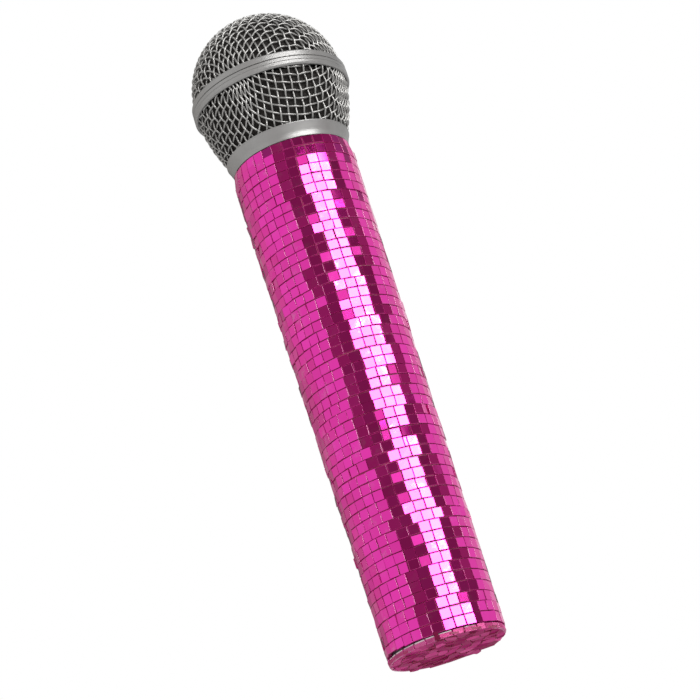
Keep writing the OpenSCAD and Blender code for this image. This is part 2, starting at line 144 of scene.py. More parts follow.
def tubes(paths, radius, sides):
    """Round wires with capped ends. Each path is (points, surface normals)."""
    verts, faces = [], []
    ring = [2 * math.pi * k / sides for k in range(sides)]
    for points, normals in paths:
        base = len(verts)
        tangent = np.gradient(points, axis=0)
        tangent /= np.linalg.norm(tangent, axis=1)[:, None]
        side = np.cross(tangent, normals)
        side /= np.linalg.norm(side, axis=1)[:, None]
        out = np.cross(side, tangent)
        for p, u, v in zip(points, out, side):
            verts += [p + radius * (math.cos(a) * u + math.sin(a) * v) for a in ring]
        for i in range(len(points) - 1):
            for k in range(sides):
                a, b = base + i * sides + k, base + i * sides + (k + 1) % sides
                faces.append((a, a + sides, b + sides, b))
        faces.append(tuple(base + k for k in range(sides)))
        last = base + (len(points) - 1) * sides
        faces.append(tuple(last + sides - 1 - k for k in range(sides)))
    return verts, faces


# ---------- woven wire ----------

class Profile:
    """A surface of revolution given by (r, z) points from its pole outwards.

    side is 1 where the outward normal lies to the right of the profile's direction, and -1 to its left."""

    def __init__(self, points, side):
        self.side = side
        self.points = np.array(points, float)
        step = np.diff(self.points, axis=0)
        self.lengths = np.linalg.norm(step, axis=1)
        self.dirs = step / self.lengths[:, None]
        self.arc = np.concatenate([[0], np.cumsum(self.lengths)])

    def at(self, s):
        """The (r, z) point at arc length s from the pole."""
        return np.array([np.interp(s, self.arc, column) for column in self.points.T])

    def distance(self, p):
        """Signed distance of a 3-D point from the surface, and the outward normal there."""
        r = math.hypot(p[0], p[1])
        q = np.array([r, p[2]])
        along = np.clip(((q - self.points[:-1]) * self.dirs).sum(1), 0, self.lengths)
        foot = self.points[:-1] + along[:, None] * self.dirs
        gap = q - foot
        k = int(np.argmin((gap * gap).sum(1)))
        nr, nz = self.normal_of(k, along[k] / self.lengths[k])
        d = gap[k][0] * nr + gap[k][1] * nz
        c, s = (p[0] / r, p[1] / r) if r > 1e-9 else (1.0, 0.0)
        return d, np.array([nr * c, nr * s, nz])

    def normal_of(self, k, t):
        """Profile normal, blended between neighbouring pieces so that it turns smoothly."""
        a = self.dirs[max(k - 1, 0)] + self.dirs[k]
        b = self.dirs[k] + self.dirs[min(k + 1, len(self.dirs) - 1)]
        d = a / np.linalg.norm(a) * (1 - t) + b / np.linalg.norm(b) * t
        d /= np.linalg.norm(d)
        return self.side * d[1], -self.side * d[0]


def drape(profile, pitch, count):
    """Crossings of a square net laid over the surface, each one pitch from two that come before it.

    One quadrant is found, by Newton steps. Crossings that the net doesn't reach stay nan."""
    net = np.full((count + 1, count + 1, 3), np.nan)
    for k in range(count + 1):
        r, z = profile.at(k * pitch)
        net[k, 0] = (r, 0, z)
        net[0, k] = (0, r, z)
    for i in range(1, count + 1):
        for j in range(1, count + 1):
            a, b, c = net[i - 1, j], net[i, j - 1], net[i - 1, j - 1]
            if np.isnan(a).any() or np.isnan(b).any():
                continue
            x = a + b - c
            for _ in range(12):
                d, n = profile.distance(x)
                f = np.array([(x - a) @ (x - a) - pitch ** 2, (x - b) @ (x - b) - pitch ** 2, d])
                jac = np.array([2 * (x - a), 2 * (x - b), n])
                try:
                    step = np.linalg.solve(jac, -f)
                except np.linalg.LinAlgError:
                    break
                size = np.linalg.norm(step)
                x = x + step * min(1, 0.5 * pitch / (size + 1e-12))
                if size < 1e-9:
                    net[i, j] = x
                    break
    return net


def whole_net(net):
    """Mirrors one quadrant of the net into all four."""
    n = net.shape[0] - 1
    full = np.full((2 * n + 1, 2 * n + 1, 3), np.nan)
    for i in range(-n, n + 1):
        for j in range(-n, n + 1):
            p = net[abs(i), abs(j)].copy()
            p[0] *= -1 if i < 0 else 1
            p[1] *= -1 if j < 0 else 1
            full[i + n, j + n] = p
    return full


def runs(mask):
    """Start and end of each unbroken stretch of true values."""
    found, start = [], None
    for k, ok in enumerate(list(mask) + [False]):
        if ok and start is None:
            start = k
        if not ok and start is not None:
            found.append((start, k))
            start = None
    return found


def crimped(nodes, signs, profile, steps, height):
    """A smooth line through the nodes that goes over and under the crossing wires."""
    points, normals = [], []
    last = len(nodes) - 1
    for k in range(last):
        p0, p1 = nodes[max(k - 1, 0)], nodes[k]
        p2, p3 = nodes[k + 1], nodes[min(k + 2, last)]
        for m in range(steps + (k == last - 1)):
            t = m / steps
            p = 0.5 * (2 * p1 + (p2 - p0) * t + (2 * p0 - 5 * p1 + 4 * p2 - p3) * t * t
                       + (3 * p1 - p0 - 3 * p2 + p3) * t ** 3)
            d, n = profile.distance(p)
            lift = height * signs[k] * math.cos(math.pi * t)
            points.append(p + n * (lift - d))
            normals.append(n)
    return np.array(points), np.array(normals)


def weave(name, profile, z_low, z_high, turn):
    """Woven wire over a surface of revolution, cut off at two heights."""
    spare = 6
    count = int(profile.arc[-1] / WIRE_PITCH) + spare
    net = whole_net(drape(profile, WIRE_PITCH, count))
    size = net.shape[0]
    paths = []
    for family in (0, 1):
        for i in range(size):
            line = net[i] if family == 0 else net[:, i]
            for a, b in runs(~np.isnan(line[:, 0])):
                if b - a < 3:
                    continue
                signs = [(1 if (i + j + family) % 2 else -1) for j in range(a, b)]
                points, normals = crimped(line[a:b], signs, profile, 5, WIRE_CRIMP)
                keep = (points[:, 2] > z_low) & (points[:, 2] < z_high)
                for c, d in runs(keep):
                    if d - c > 3:
                        paths.append((points[c:d], normals[c:d]))
    c, s = math.cos(turn), math.sin(turn)
    spin = np.array([[c, -s, 0], [s, c, 0], [0, 0, 1]])
    paths = [(p @ spin.T, n @ spin.T) for p, n in paths]
    return new_object(name, *tubes(paths, WIRE_R, WIRE_SIDES))


def bowl_r(t):
    """Radius of the bowl from the collar, t = 0, to the ring, t = 1: a parabola through three radii."""
    low, mid, top = (1 - t) * (1 - 2 * t), 4 * t * (1 - t), t * (2 * t - 1)
    return BOWL_R_LOW * low + BOWL_R_MID * mid + BOWL_R_TOP * top


def dome_profile(depth):
    """A quarter circle from the top of the dome down, then straight on behind the ring."""
    r = DOME_R - depth
    arc = [(r * math.sin(a), DOME_Z + r * math.cos(a)) for a in np.linspace(0, math.pi / 2, 40)]
    return arc + [(r, DOME_Z - 6 * MM)]


def bowl_profile(depth):
    """A cup: flat bottom, rounded corner, then the bowl's wall up past the ring's lower edge."""
    height = RING_Z0 - COLLAR_TOP
    wall = [(bowl_r(t) - depth, COLLAR_TOP + height * t) for t in np.linspace(0, 1, 24)]
    corner_r = 3 * MM
    cx, cz = wall[0][0] - corner_r, wall[0][1]
    turn = np.linspace(0, math.pi / 2, 10)
    corner = [(cx + corner_r * math.sin(a), cz - corner_r * math.cos(a)) for a in turn]
    return [(0, corner[0][1])] + corner[:-1] + wall + [(wall[-1][0] + 0.1 * MM, RING_Z0 + 6 * MM)]


def make_grilles():
    """The dome's and the bowl's woven wire, with the cut ends hidden behind the ring and the collar."""
    depth, hidden, no_limit = WEAVE_T / 2, 0.8 * MM, 1
    up, down = Profile(dome_profile(depth), -1.0), Profile(bowl_profile(depth), 1.0)
    dome = weave("dome_weave", up, RING_TOP - hidden, no_limit, WEAVE_AZIMUTH)
    bowl = weave("bowl_weave", down, COLLAR_TOP - hidden, RING_Z0 + 0.6 * MM, WEAVE_AZIMUTH)
    return dome, bowl


# ---------- foam ----------

def foam_wobble(p):
    """Uneven skin of the foam: lumps of about 3 mm with 1 mm ones on them."""
    fine = noise.noise(p * 900)
    coarse = noise.noise(p * 350)
    return 0.12 * MM * fine + 0.15 * MM * coarse


def make_dome_foam():
    """A thick cap of foam just inside the dome."""
    low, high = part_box("dome_foam")
    outer, inner = high.x - 0.25 * MM, high.x - 3.4 * MM
    z0 = low.z + 0.1 * MM
    angles = np.linspace(0.004, math.pi / 2 - 0.001, 90)
    arc = [(outer * math.sin(a), DOME_Z + outer * math.cos(a)) for a in angles]
    back = [(inner * math.sin(a), DOME_Z + inner * math.cos(a)) for a in angles[::-5]]
    section = [p for p in arc if p[1] > z0] + [(outer, z0), (inner, z0)] + back
    return new_object("dome_foam_liner", *revolve(section, 200, foam_wobble))


def make_bowl_foam():
    """A sleeve of foam just inside the bowl, thinnest at the collar."""
    height = RING_Z0 - COLLAR_TOP
    depth = WEAVE_T + 0.35 * MM
    steps = np.linspace(0, 1, 60)
    wall = [(bowl_r(t) - depth, COLLAR_TOP + 0.15 * MM + (height - 0.1 * MM) * t) for t in steps]
    inner_r = 16.3 * MM
    back = [(wall[-1][0] - 3.2 * MM, wall[-1][1]), (inner_r, COLLAR_TOP + 5 * MM), (inner_r, wall[0][1])]
    return new_object("bowl_foam_liner", *revolve(wall + back, 200, foam_wobble))


# ---------- mirror tiles ----------

class Slabs:
    """A mesh of many separate mirror pieces. Each face has a tone, and a kind that picks its material."""
    FACE, EDGE, DARK = 0, 1, 2

    def __init__(self):
        self.verts, self.faces, self.tones, self.kinds = [], [], [], []

    def add(self, outline, place, thickness, chamfer, tone, steep=1.3):
        """One piece: outline is a convex loop in its own plane, place takes (x, y, depth) to the frame.
        The chamfer round its face is steep times as wide as it is deep."""
        n = len(outline)
        centre = np.mean(outline, axis=0)
        base = len(self.verts)
        spokes = [p - centre for p in outline]
        face = [p - d / np.linalg.norm(d) * chamfer * steep for p, d in zip(outline, spokes)]
        for loop, depth in ((face, 0), (outline, chamfer), (outline, thickness)):
            self.verts += [place(p[0], p[1], depth) for p in loop]
        self.faces.append(tuple(base + k for k in range(n)))
        self.kinds.append(self.FACE)
        for k in range(n):
            m = (k + 1) % n
            self.faces.append((base + k, base + n + k, base + n + m, base + m))
            self.faces.append((base + n + k, base + 2 * n + k, base + 2 * n + m, base + n + m))
            self.kinds += [self.EDGE, self.EDGE]
        self.faces.append(tuple(base + 2 * n + n - 1 - k for k in range(n)))
        self.kinds.append(self.EDGE)
        self.tones += [tone] * (2 * n + 2)

    def finish(self, name, *materials):
        """The mesh object, with one material for each kind."""
        obj = new_object(name, self.verts, self.faces, smooth=False)
        for material in materials:
            obj.data.materials.append(material)
        obj.data.polygons.foreach_set("material_index", self.kinds)
        attribute = obj.data.attributes.new("tone", "FLOAT", "FACE")
        attribute.data.foreach_set("value", self.tones)
        return obj


def rough_rectangle(w, h, skew):
    """A rectangle about the origin, its corners moved by skew: four x values and then four y values."""
    signs = ((-1, -1), (1, -1), (1, 1), (-1, 1))
    return [np.array((sx * w / 2 + skew[k], sy * h / 2 + skew[k + 4])) for k, (sx, sy) in enumerate(signs)]


def hump(angle, middle, width, power=2):
    """1 at the middle angle, falling off to 0 beyond about width degrees to each side."""
    off = math.degrees(math.remainder(angle - middle, 2 * math.pi))
    return math.exp(-(off / width) ** power)


def tiled_r(z):
    """Outer radius over the tiles at height z."""
    tuck_z = HANDLE_TOP - TUCK_LEN
    if z < tuck_z:
        return END_R + (HIGH_R - END_R) * (z - ROW_Z0) / (tuck_z - ROW_Z0)
    return HIGH_R + (COLLAR_R - HIGH_R) * (z - tuck_z) / TUCK_LEN


def make_side_tiles(face_mat, edge_mat):
    """All rows of tiles round the handle, from the flat end to the collar."""
    rng = random.Random(11)
    slabs = Slabs()
    row = 0
    while row < TILE_ROWS:
        # A strip of rows that were laid together: one start angle, one ripple and one height off the tube
        strip = min(rng.choice([1, 1, 2, 2, 3, 3, 4]), TILE_ROWS - row)
        start = rng.uniform(0, 2 * math.pi)
        lift = rng.uniform(-0.15, 0.1) * MM
        ripple = [(rng.uniform(0.02, 0.07) * MM, rng.uniform(0, 2 * math.pi)) for _ in range(3)]
        for i in range(row, row + strip):
            z_mid = ROW_Z0 + (i + 0.5) * ROW_PITCH
            r = tiled_r(z_mid) + lift
            rise = tiled_r(z_mid + ROW_PITCH / 2) - tiled_r(z_mid - ROW_PITCH / 2)
            lean = math.atan2(rise, ROW_PITCH)
            add_row(slabs, rng, r, z_mid, lean, start + rng.gauss(0, 0.008), ripple)
        row += strip
    return slabs.finish("side_mosaic", face_mat, edge_mat)


def add_row(slabs, rng, r, z_mid, lean, start, ripple):
    """One row of whole tiles and, where the rest of the girth allows, one narrow tile that closes it."""
    girth = 2 * math.pi * r
    step = TILE_W + TILE_JOINT
    whole = int(girth / step)
    rest = girth - whole * step
    widths = [TILE_W + rng.gauss(0, 0.035 * MM) for _ in range(whole)]
    narrowest = 1.1 * MM
    if rest > narrowest:
        widths.append(rest - TILE_JOINT)
    joint = (girth - sum(widths)) / len(widths)
    along = 0.0
    for w in widths:
        angle = start + (along + w / 2) / r
        along += w + joint
        waves = [(k, size, k * angle + phase) for k, (size, phase) in enumerate(ripple, 1)]
        dz = sum(size * math.sin(turn) for k, size, turn in waves)
        slope = sum(k * size * math.cos(turn) for k, size, turn in waves) / r
        h = ROW_PITCH - ROW_JOINT - abs(rng.gauss(0, 0.03)) * MM
        if z_mid < ROW_Z0 + ROW_PITCH:
            # The first row's lower edge rises here, and the shadow above the flat end widens to a wedge
            short = 0.75 * MM * hump(angle, END_GAP_ANGLE, 22)
            h -= short
            dz += short / 2
        add_tile(slabs, rng, angle, r, z_mid + dz, w, h, lean, slope)


def add_tile(slabs, rng, angle, r, z, w, h, lean, slope):
    """One tile of the handle, a little out of line in every way."""
    # The side at the camera's left was laid less neatly, and a few tiles leave a gap beside them
    messy = max(0, -math.cos(angle)) ** 2
    if rng.random() < 0.02 + 0.06 * messy:
        w -= rng.uniform(0.25, 0.5) * MM
    # Round the front, to the right of the camera, the joints are a little wider
    front = hump(angle, FRONT_ANGLE, 17, 4)
    w += (0.04 - 0.19 * front) * MM
    h -= 0.17 * MM * front
    yaw = angle + math.radians(rng.gauss(0, 4 if rng.random() < 0.16 else 0.9 + 1.6 * messy))
    pitch = lean + math.radians(rng.gauss(0, 0.8 + 1.6 * messy))
    roll = slope + math.radians(rng.gauss(0, 0.7 + messy))
    out = Vector((math.cos(yaw) * math.cos(pitch), math.sin(yaw) * math.cos(pitch), -math.sin(pitch)))
    across = Vector((-math.sin(yaw), math.cos(yaw), 0))
    up = out.cross(across)
    c, s = math.cos(roll), math.sin(roll)
    across, up = across * c + up * s, up * c - across * s
    proud = rng.gauss(0, 0.05 + 0.03 * messy) * MM
    centre = Vector((r * math.cos(angle), r * math.sin(angle), z)) + out * proud
    outline = rough_rectangle(w, h, [rng.gauss(0, 0.03 + 0.04 * messy) * MM for _ in range(8)])

    def place(x, y, depth):
        return centre + across * x + up * y - out * depth

    thickness, chamfer = 0.95 * TILE_T, 0.1 * MM
    slabs.add(outline, place, thickness, chamfer, rng.random(), rng.uniform(0.4, 1.9))


def clip(poly, point, normal):
    """The part of a convex polygon on the side of a line that its normal points away from."""
    kept = []
    for k, a in enumerate(poly):
        b = poly[(k + 1) % len(poly)]
        da, db = (a - point) @ normal, (b - point) @ normal
        if da <= 0:
            kept.append(a)
        if (da < 0 < db) or (db < 0 < da):
            kept.append(a + (b - a) * da / (da - db))
    return kept


def end_outline(rng, corners):
    """Lumpy outline of the flat end: a little flat on the right, and bulging behind that."""
    loop = []
    for k in range(corners):
        a = 2 * math.pi * k / corners
        dent = 0.45 * hump(a, 0, 16)
        bulge = 0.5 * hump(a, math.radians(42), 20)
        r = END_R - (0.2 + dent - bulge + rng.uniform(-0.3, 0.25)) * MM
        loop.append(np.array((r * math.cos(a), r * math.sin(a))))
    return loop


def make_end_pieces(face_mat, edge_mat):
    """Irregular mirror pieces over the flat end, each grown from a seed up to half-way to its neighbours."""
    rng = random.Random(5)
    seeds = []
    # Rings of seeds: how many, and the ring's radius as a part of the end's
    for count, radius in ((31, 0.9), (25, 0.7), (18, 0.5), (11, 0.3), (4, 0.11)):
        for k in range(count):
            a = 2 * math.pi * (k + rng.uniform(-0.3, 0.3)) / count + radius * 7
            rr = END_R * (radius + rng.uniform(-0.07, 0.06))
            seeds.append(np.array((rr * math.cos(a), rr * math.sin(a))))
    slabs = Slabs()
    outline = end_outline(rng, 52)
    for n, seed in enumerate(seeds):
        poly = outline
        for m, other in enumerate(seeds):
            if m != n:
                away = (other - seed) / np.linalg.norm(other - seed)
                poly = clip(poly, (seed + other) / 2 - away * SHARD_GAP, away)
        if len(poly) > 2:
            add_shard(slabs, rng, poly[::-1])
    return slabs.finish("end_mosaic", face_mat, edge_mat)


def add_shard(slabs, rng, poly):
    """One piece of the flat end, tilted at random. The pieces stand lower towards the back and the right."""
    lean_x, lean_y = (math.radians(rng.gauss(0, 4.5)) for _ in range(2))
    tilt = Matrix.Rotation(lean_x, 3, "X") @ Matrix.Rotation(lean_y, 3, "Y")
    x, y = np.mean(poly, axis=0)
    sag = 0.5 * MM * min(max((0.6 * y + 0.35 * x) / END_R + 0.3, 0), 1)
    centre = Vector((x, y, END_LOW.z + rng.uniform(0.12, 0.42) * MM - sag))

    def place(x, y, depth):
        p = centre + tilt @ Vector((x - centre.x, y - centre.y, depth))
        lowest = END_LOW.z - (0.6 if p.x > 0 else 0.25) * MM
        return Vector((p.x, p.y, min(max(p.z, lowest), END_HIGH.z)))

    thickness, chamfer = 0.7 * MM, 0.12 * MM
    slabs.add(poly, place, thickness, chamfer, rng.random())


def make_rim_chips(face_mat, edge_mat, dark_mat):
    """Slivers of mirror stuck upright round the edge of the flat end. They are shorter on the left and in
    front, with dark joints between them, and one is missing at the notch, where a dark piece paints the
    shade of the gap."""
    rng = random.Random(23)
    slabs = Slabs()
    joints = []
    notch = math.radians(4.2)
    angle = NOTCH_ANGLE + notch / 2
    stop = angle + 2 * math.pi - notch
    while angle < stop - math.radians(4):
        half = rng.uniform(2.8, 4.1) * MM / 2 / END_R
        mid = angle + half
        right = max(math.cos(mid), 0)
        low_side = math.cos(mid - END_GAP_ANGLE - math.radians(20)) > 0.2
        h = (rng.choice((1.2, 1.3, 1.55)) if low_side else 1.62 + 0.16 * right) * MM
        r = END_R - rng.uniform(0.0, 0.1) * MM - 0.16 * MM * right
        add_chip(slabs, rng, mid, 2 * half * END_R, h, r)
        angle += 2 * half + rng.uniform(0.006, 0.014)
        if low_side:
            joints.append(angle - 0.005)
    chip_faces = len(slabs.kinds)
    # Painted shade: a dark piece stands where a sliver of the rim is missing.
    add_chip(slabs, rng, NOTCH_ANGLE, notch * END_R, 2.3 * MM, END_R + 0.2 * MM)
    for joint in joints:
        add_chip(slabs, rng, joint, 0.3 * MM, 1.68 * MM, END_R - 0.16 * MM)
    slabs.kinds[chip_faces:] = [slabs.DARK] * (len(slabs.kinds) - chip_faces)
    return slabs.finish("end_rim_chips", face_mat, edge_mat, dark_mat)


def add_chip(slabs, rng, mid, w, h, r):
    """One upright sliver of the rim, with an uneven upper edge."""
    skew = [rng.gauss(0, 0.09) * MM for _ in range(8)]
    skew[4] = skew[5] = 0
    outline = rough_rectangle(0.97 * w, h, skew)
    out = Vector((math.cos(mid), math.sin(mid), -math.tan(math.radians(rng.gauss(4, 5))))).normalized()
    across = Vector((-math.sin(mid), math.cos(mid), 0))
    up = out.cross(across)
    centre = Vector((r * math.cos(mid), r * math.sin(mid), END_LOW.z + h / 2 + 0.08 * MM))

    def place(x, y, depth):
        return centre + across * x + up * y - out * depth

    thickness, chamfer = 0.8 * MM, 0.1 * MM
    slabs.add(outline, place, thickness, chamfer, rng.random())


def make_grout():
    """Uneven grout between the tiles, a little under their faces."""
    def wobble(p):
        return 0.1 * MM * noise.noise(p * 700)
    heights = np.linspace(ROW_Z0 + 0.8 * MM, HANDLE_TOP - 0.35 * MM, 240)
    outer = [(tiled_r(z) - GROUT_DEPTH, z) for z in heights]
    inner = [(tiled_r(z) - TILE_T - 0.3 * MM, z) for z in heights[::-12]]
    return new_object("grout", *revolve(outer + inner, 180, wobble))


# ---------- materials ----------

class Graph:
    """A new node material with short ways to add nodes. Lengths are in metres through object coordinates."""

    def __init__(self, name):
        self.mat = bpy.data.materials.new(name)
        self.mat.use_nodes = True
        self.tree = self.mat.node_tree
        self.bsdf = self.tree.nodes["Principled BSDF"]
        self.coords = self.node("ShaderNodeTexCoord").outputs["Object"]

    def node(self, kind, **values):
        """Adds a node. Each value sets its property of that name, or else its input."""
        made = self.tree.nodes.new(kind)
        for key, value in values.items():
            if hasattr(made, key):
                setattr(made, key, value)
            else:
                made.inputs[key].default_value = value
        return made

    def link(self, source, target):
        self.tree.links.new(source, target)

    def put(self, name, value):
        """Feeds or sets an input of the shader."""
        if isinstance(value, bpy.types.NodeSocket):
            self.link(value, self.bsdf.inputs[name])
        else:
            self.bsdf.inputs[name].default_value = value

    def noise(self, size, detail=3.0, rough=0.5, stretch=(1, 1, 1)):
        """Noise with features of about that size in metres, from 0 to 1."""
        mapping = self.node("ShaderNodeMapping")
        mapping.inputs["Scale"].default_value = [1 / (size * k) for k in stretch]
        self.link(self.coords, mapping.inputs["Vector"])
        made = self.node("ShaderNodeTexNoise", Scale=1.0, Detail=detail, Roughness=rough)
        self.link(mapping.outputs[0], made.inputs["Vector"])
        return made.outputs[0]

    def cells(self, size):
        """Distance from the middle of cells of about that size in metres."""
        made = self.node("ShaderNodeTexVoronoi", Scale=1 / size)
        self.link(self.coords, made.inputs["Vector"])
        return made.outputs[0]

    def axes(self):
        """The x, y and z of the object coordinates, in metres."""
        made = self.node("ShaderNodeSeparateXYZ")
        self.link(self.coords, made.inputs[0])
        return made.outputs

    def spread(self, fac, low, high, a=0.35, b=0.65):
        """Maps fac from the range a to b onto low to high."""
        made = self.node("ShaderNodeMapRange")
        for k, value in zip(("From Min", "From Max", "To Min", "To Max"), (a, b, low, high)):
            made.inputs[k].default_value = value
        self.link(fac, made.inputs["Value"])
        return made.outputs[0]

    def blend(self, fac, a, b):
        """A colour between a, where fac is 0, and b, where it is 1."""
        made = self.node("ShaderNodeMix", data_type="RGBA")
        for socket, value in ((made.inputs[0], fac), (made.inputs[6], a), (made.inputs[7], b)):
            if isinstance(value, bpy.types.NodeSocket):
                self.link(value, socket)
            else:
                socket.default_value = (*value, 1) if isinstance(value, tuple) else value
        return made.outputs[2]

    def maths(self, operation, a, b):
        """A math node on two numbers or sockets."""
        made = self.node("ShaderNodeMath", operation=operation)
        for k, value in enumerate((a, b)):
            if isinstance(value, bpy.types.NodeSocket):
                self.link(value, made.inputs[k])
            else:
                made.inputs[k].default_value = value
        return made.outputs[0]

    def bump(self, height, distance):
        """Relief in the shader's normal, with the given depth in metres."""
        made = self.node("ShaderNodeBump", Distance=distance)
        self.link(height, made.inputs["Height"])
        self.link(made.outputs[0], self.bsdf.inputs["Normal"])

    def attribute(self, name):
        """A number stored on the mesh's faces."""
        return self.node("ShaderNodeAttribute", attribute_name=name).outputs["Fac"]


def scaled(colour, share):
    """The same colour, darker."""
    return tuple(share * c for c in colour)


def pink_mirror(name, dark, light, roughness, coat):
    """Silvered pink glass: a coloured mirror under a clear front, with faint haze and pin-prick flaws.
    Each piece has its own tone between dark and light."""
    g = Graph(name)
    tone = g.attribute("tone")
    colour = g.blend(tone, dark, light)
    flaws = g.spread(g.noise(0.5 * MM, 4, 0.6), 0, 1, 0.70, 0.76)
    colour = g.blend(flaws, colour, scaled(dark, 0.35))
    g.put("Base Color", colour)
    g.put("Metallic", 1.0)
    haze = g.noise(6 * MM, 4, 0.6)
    hazy = g.spread(haze, roughness, roughness * 2.2)
    g.put("Roughness", g.maths("ADD", hazy, g.maths("MULTIPLY", flaws, 0.3)))
    g.put("Coat Weight", coat)
    g.put("Specular Tint", (0.85, 0.3, 0.55, 1))
    g.put("Coat Roughness", g.spread(haze, 0.01, 0.06))
    g.bump(g.noise(5 * MM, 2, 0.5), 0.004 * MM)
    return g.mat


def glass_edge():
    """Cut edges of the pink glass: polished in places, dull and chipped in others."""
    g = Graph("pink_glass_edge")
    chips = g.noise(0.35 * MM, 3, 0.6)
    worn = g.noise(2.5 * MM, 2, 0.5)
    g.put("Base Color", g.blend(g.spread(chips, 0, 1), (0.24, 0.003, 0.08), (0.46, 0.016, 0.19)))
    g.put("Roughness", g.maths("ADD", g.spread(chips, 0.05, 0.15), g.spread(worn, 0.04, 0.25)))
    g.put("Specular IOR Level", 0.5)
    g.put("Specular Tint", (1, 0.7, 0.88, 1))
    g.bump(chips, 0.05 * MM)
    return g.mat


def grout_material():
    """Gritty grout, stained dark pink."""
    g = Graph("dark_grout")
    grain = g.noise(0.4 * MM, 4, 0.65)
    g.put("Base Color", g.blend(g.spread(grain, 0, 1), (0.16, 0.0015, 0.035), (0.3, 0.005, 0.08)))
    g.put("Roughness", g.spread(grain, 0.55, 0.8))
    g.bump(grain, 0.1 * MM)
    return g.mat


def satin_metal(name, colour, roughness, metallic, specular):
    """Satin silver finish: fine turned rings of grain, soft blotches and a few worn specks, with painted
    shade that darkens its colour where the surface turns away from view."""
    g = Graph(name)
    grain = g.noise(1.6 * MM, 3, 0.6, (1, 1, 0.06))
    blotch = g.noise(5 * MM, 4, 0.6)
    worn = g.spread(g.noise(0.8 * MM, 5, 0.7), 0, 1, 0.66, 0.8)
    base = g.blend(g.spread(blotch, 0, 1), scaled(colour, 0.92), colour)
    # Painted shade: the colour darkens towards 0.45 of itself where the surface turns away from view.
    painted_edge_shade = g.node("ShaderNodeLayerWeight", Blend=0.35).outputs["Facing"]
    base = g.blend(g.spread(painted_edge_shade, 0, 1, 0.25, 1), base, scaled(colour, 0.45))
    g.put("Base Color", g.blend(worn, base, scaled(colour, 0.75)))
    g.put("Metallic", metallic)
    g.put("Specular IOR Level", specular)
    rough = g.spread(grain, roughness * 0.9, roughness * 1.12)
    g.put("Roughness", g.maths("ADD", rough, g.maths("MULTIPLY", worn, 0.08)))
    g.bump(grain, 0.006 * MM)
    return g.mat


def drawn_wire():
    """Plated wire, a little soft in its shine, with faint marks along it."""
    g = Graph("drawn_wire")
    scuff = g.noise(0.5 * MM, 4, 0.6)
    g.put("Base Color", g.blend(g.spread(scuff, 0, 1), (0.20, 0.197, 0.19), (0.30, 0.297, 0.287)))
    g.put("Metallic", 0.55)
    g.put("Roughness", g.spread(scuff, 0.38, 0.5))
    g.bump(scuff, 0.01 * MM)
    return g.mat


def plain_metal(name, colour, roughness):
    """Bare or plated metal with fine scuffs."""
    g = Graph(name)
    scuff = g.noise(0.6 * MM, 4, 0.6, (1, 1, 3))
    g.put("Base Color", g.blend(g.spread(scuff, 0, 1), scaled(colour, 0.8), colour))
    g.put("Metallic", 1.0)
    g.put("Roughness", g.spread(scuff, roughness * 0.8, roughness * 1.3))
    g.bump(scuff, 0.01 * MM)
    return g.mat


def moulded(name, colour, roughness, grain=0.35, depth=0.015, shine=0.5):
    """Moulded plastic or rubber with faint flow marks and a fine grain; its size and depth are in mm."""
    g = Graph(name)
    skin = g.noise(grain * MM, 3, 0.6)
    flow = g.noise(9 * MM, 3, 0.5, (1, 1, 2.5))
    g.put("Base Color", g.blend(g.spread(flow, 0, 1), scaled(colour, 0.82), colour))
    g.put("Roughness", g.spread(skin, roughness * 0.85, min(1, roughness * 1.15)))
    g.put("Specular IOR Level", shine)
    g.bump(skin, depth * MM)
    return g.mat


def end_plate_material():
    """Pale plastic plate with pink lacquer run over its edge on the right."""
    g = Graph("end_plate_plastic")
    pale, lacquer = (0.42, 0.32, 0.35), (0.3, 0.04, 0.12)
    skin = g.noise(0.5 * MM, 3, 0.6)
    rightwards = g.spread(g.axes()[0], -0.3, 1.3, -0.2 * END_R, 0.8 * END_R)
    run = g.maths("ADD", rightwards, g.spread(skin, -0.3, 0.3))
    g.put("Base Color", g.blend(g.spread(run, 0, 1, 0.3, 0.7), pale, lacquer))
    g.put("Roughness", g.spread(skin, 0.5, 0.7))
    g.bump(skin, 0.03 * MM)
    return g.mat


def foam_material():
    """Open-cell foam: near black, with painted shade that makes the pores show as darker pits."""
    g = Graph("open_cell_foam")
    pores = g.cells(0.55 * MM)
    tint = g.noise(2 * MM, 3, 0.6)
    base = g.blend(g.spread(tint, 0, 1), (0.015, 0.013, 0.012), (0.028, 0.0245, 0.0225))
    # Painted shade: the colour darkens towards the middle of each pore.
    g.put("Base Color", g.blend(g.spread(pores, 0, 1, 0.0, 0.6), (0.004, 0.004, 0.004), base))
    g.put("Roughness", 0.95)
    g.put("Specular IOR Level", 0.15)
    g.bump(pores, 0.3 * MM)
    return g.mat


def circuit_material():
    """Green solder mask over tracks that run along the board and show as raised, lighter lines."""
    g = Graph("solder_mask")
    x, _, z = g.axes()
    turned = g.node("ShaderNodeCombineXYZ")
    g.link(z, turned.inputs[0])
    g.link(x, turned.inputs[1])
    tracks = g.node("ShaderNodeTexBrick", Scale=1 / MM, offset=0.37, squash=0.5, squash_frequency=3)
    for name, size_mm in (("Mortar Size", 0.13), ("Brick Width", 11.0), ("Row Height", 1.35)):
        tracks.inputs[name].default_value = size_mm
    g.link(turned.outputs[0], tracks.inputs["Vector"])
    fibre = g.noise(0.7 * MM, 3, 0.6)
    plain = g.blend(g.spread(fibre, 0, 1), (0.006, 0.09, 0.03), (0.01, 0.13, 0.045))
    g.put("Base Color", g.blend(tracks.outputs["Fac"], plain, (0.03, 0.26, 0.09)))
    g.put("Roughness", g.spread(fibre, 0.25, 0.4))
    g.bump(tracks.outputs["Fac"], 0.03 * MM)
    return g.mat


